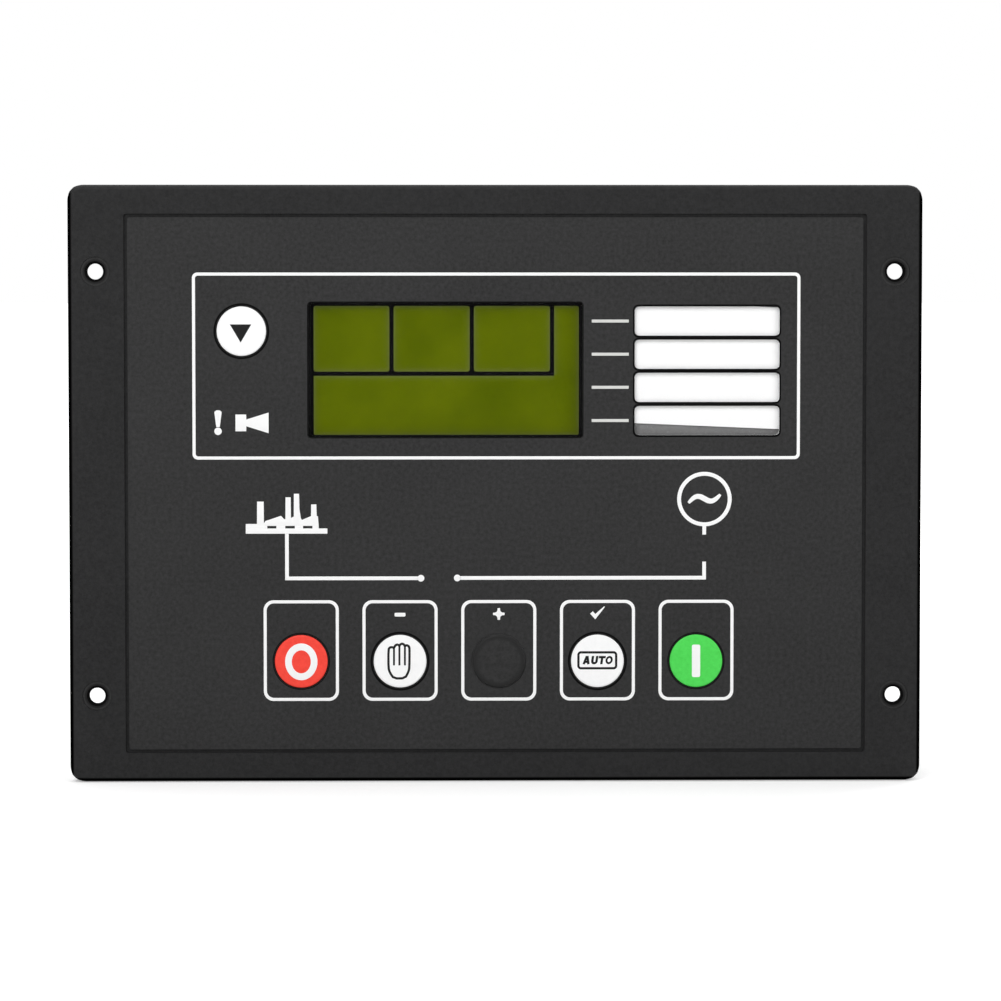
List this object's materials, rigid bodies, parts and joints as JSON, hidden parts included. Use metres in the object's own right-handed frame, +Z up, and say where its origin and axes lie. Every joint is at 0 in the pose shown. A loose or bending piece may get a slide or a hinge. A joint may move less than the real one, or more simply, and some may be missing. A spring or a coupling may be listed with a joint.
{
  "type": "genset controller",
  "caption": "Panel-mounted generator controller with display, legend windows, mimic line, start, stop and mode keys, and plug-in terminal blocks on the back of its housing.",
  "frame": {"origin": "middle of the panel cut-out, in the plane of the flange's back face", "axes": "+X to the right seen from the front, +Y from the front into the panel, +Z up"},
  "size_m": [0.24, 0.0573, 0.168],
  "materials": {
    "moulded_black": "fine spark-eroded matt",
    "overlay_black": "velvet-textured film, white print",
    "clear_plastic": "clear",
    "white_card": "smooth card",
    "grey_sheet": "matt",
    "display_glass": "olive green liquid crystal cell",
    "black_metal": "matt black",
    "light_box": "milky",
    "circuit_board": "green solder resist",
    "pillar_brass": "nickel-flashed",
    "screw_steel": "zinc plated",
    "component_black": "satin",
    "relay_blue": "satin",
    "capacitor_sleeve": "gloss",
    "choke_copper": "enamelled copper wire",
    "terminal_green": "satin",
    "lamp_red": "diffused",
    "key_red": "satin, printed",
    "key_white": "satin, printed",
    "key_black": "satin",
    "key_green": "satin, printed"
  },
  "bodies": {
    "controller": {"fascia": "moulded_black", "rear_housing": "moulded_black", "overlay_film": "overlay_black", "window_film": "clear_plastic", "lcd_lens": "clear_plastic", "label_card": "white_card", "card_pocket": "grey_sheet", "lcd_glass": "display_glass", "lcd_bezel": "black_metal", "lcd_backlight": "light_box", "display_board": "circuit_board", "main_board": "circuit_board", "board_pillar_1": "pillar_brass", "board_pillar_2": "pillar_brass", "board_pillar_3": "pillar_brass", "board_pillar_4": "pillar_brass", "housing_screw_1": "screw_steel", "housing_screw_2": "screw_steel", "housing_screw_3": "screw_steel", "housing_screw_4": "screw_steel", "board_link": "component_black", "processor": "component_black", "pc_socket": "component_black", "switch_scroll": "component_black", "switch_stop": "component_black", "switch_manual": "component_black", "switch_test": "component_black", "switch_auto": "component_black", "switch_start": "component_black", "relay_1": "relay_blue", "relay_2": "relay_blue", "relay_3": "relay_blue", "capacitor_1": "capacitor_sleeve", "capacitor_2": "capacitor_sleeve", "power_choke": "choke_copper", "header_supply": "terminal_green", "header_inputs": "terminal_green", "header_current": "terminal_green", "header_voltage": "terminal_green", "plug_supply": "terminal_green", "plug_inputs": "terminal_green", "plug_current": "terminal_green", "plug_voltage": "terminal_green", "led_generator": "lamp_red", "led_load": "lamp_red"},
    "scroll_key": {"key_scroll": "key_white", "plunger_scroll": "component_black"},
    "stop_key": {"key_stop": "key_red", "plunger_stop": "component_black"},
    "manual_key": {"key_manual": "key_white", "plunger_manual": "component_black"},
    "test_key": {"key_test": "key_black", "plunger_test": "component_black"},
    "auto_key": {"key_auto": "key_white", "plunger_auto": "component_black"},
    "start_key": {"key_start": "key_green", "plunger_start": "component_black"}
  },
  "joints": [
    {"name": "press_scroll", "type": "slide", "parent": "controller", "child": "scroll_key", "axis": [0, 1, 0], "range_m": [0, 0.0004], "stiffness_N_per_m": 1500, "springref_m": -0.0008},
    {"name": "press_stop", "type": "slide", "parent": "controller", "child": "stop_key", "axis": [0, 1, 0], "range_m": [0, 0.0004], "stiffness_N_per_m": 1500, "springref_m": -0.0008},
    {"name": "press_manual", "type": "slide", "parent": "controller", "child": "manual_key", "axis": [0, 1, 0], "range_m": [0, 0.0004], "stiffness_N_per_m": 1500, "springref_m": -0.0008},
    {"name": "press_test", "type": "slide", "parent": "controller", "child": "test_key", "axis": [0, 1, 0], "range_m": [0, 0.0004], "stiffness_N_per_m": 1500, "springref_m": -0.0008},
    {"name": "press_auto", "type": "slide", "parent": "controller", "child": "auto_key", "axis": [0, 1, 0], "range_m": [0, 0.0004], "stiffness_N_per_m": 1500, "springref_m": -0.0008},
    {"name": "press_start", "type": "slide", "parent": "controller", "child": "start_key", "axis": [0, 1, 0], "range_m": [0, 0.0004], "stiffness_N_per_m": 1500, "springref_m": -0.0008}
  ]
}
